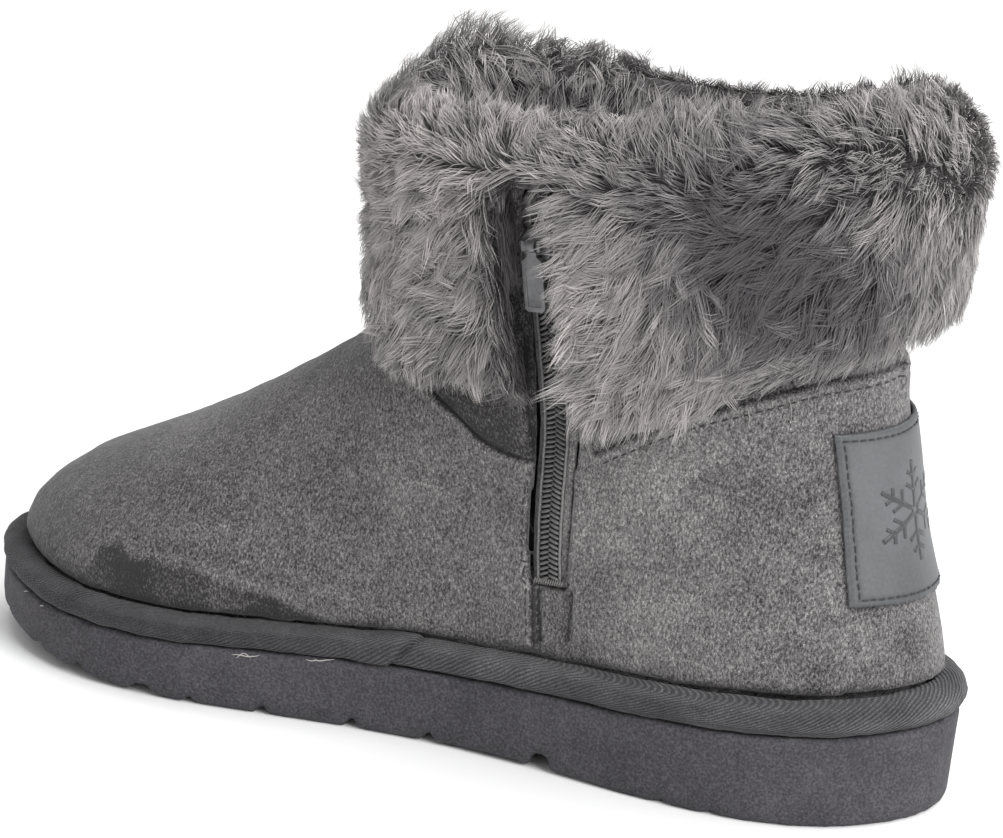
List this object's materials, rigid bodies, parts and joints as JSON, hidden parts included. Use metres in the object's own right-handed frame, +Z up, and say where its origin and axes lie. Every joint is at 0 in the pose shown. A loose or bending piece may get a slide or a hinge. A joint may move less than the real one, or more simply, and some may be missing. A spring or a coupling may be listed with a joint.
{
  "type": "snow boot",
  "caption": "Right ankle snow boot in grey suede with a folded fur cuff, inner side zip with swinging pull, rolled binding strip and thick lugged outsole.",
  "frame": {"origin": "middle of the bounding box on the ground plane, under the sole", "axes": "toe towards -Y, heel towards +Y, medial side with the zip towards +X, +Z up"},
  "size_m": [0.1098, 0.2648, 0.1771],
  "materials": {
    "sole_foam": "matt moulded foam rubber",
    "twill_binding": "matt woven twill",
    "insole_felt": "soft pile",
    "suede": "napped suede",
    "fur": "long soft pile",
    "zip_nylon": "woven nylon",
    "zip_metal": "dull grey lacquer",
    "patch_leather": "smooth, slight sheen"
  },
  "bodies": {
    "boot": {"outsole": "sole_foam", "binding_strip": "twill_binding", "insole": "insole_felt", "upper": "suede", "fur_cuff": "fur", "zip": "zip_nylon", "zip_slider": "zip_metal", "heel_patch": "patch_leather"},
    "pull": {"zip_pull": "zip_metal"}
  },
  "joints": [
    {"name": "zip_pull_swing", "type": "hinge", "parent": "boot", "child": "pull", "pos_m": [0.04479, 0.03006, 0.13492], "axis": [-0.1215, -0.9857, -0.1167], "range_deg": [-5, 135]}
  ]
}
